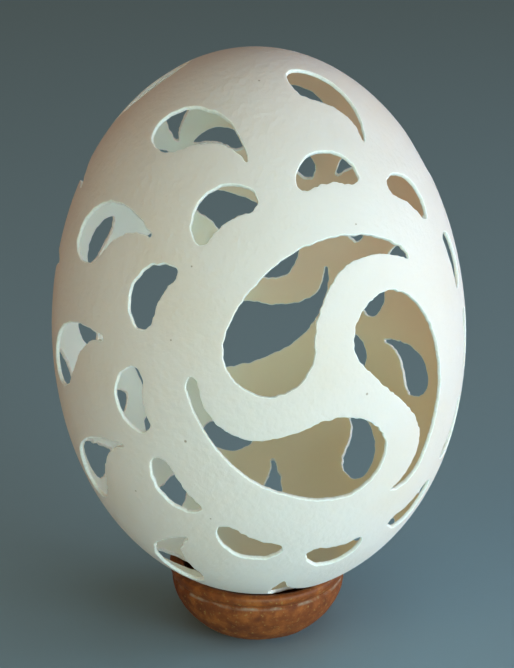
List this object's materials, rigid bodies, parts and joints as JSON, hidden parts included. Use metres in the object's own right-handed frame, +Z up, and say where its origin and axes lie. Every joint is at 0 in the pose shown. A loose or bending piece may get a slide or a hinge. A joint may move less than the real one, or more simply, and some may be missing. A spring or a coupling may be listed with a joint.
{
  "type": "pierced egg ornament",
  "caption": "Hollow chicken eggshell pierced with comma openings and a three-armed whorl, resting upright in a small round clay stand.",
  "frame": {"origin": "middle of the stand's flat underside", "axes": "+Z up along the stand's axis, -Y towards the front, where the pictured whorl faces a little to the right, +X to the viewer's right"},
  "size_m": [0.044, 0.0439, 0.065],
  "materials": {
    "eggshell": "natural matt off-white eggshell, chalky where cut",
    "clay": "unglazed orange-brown fired clay, rubbed to a low sheen at the rim"
  },
  "bodies": {
    "root": {"eggshell": "eggshell", "stand": "clay"}
  },
  "joints": []
}
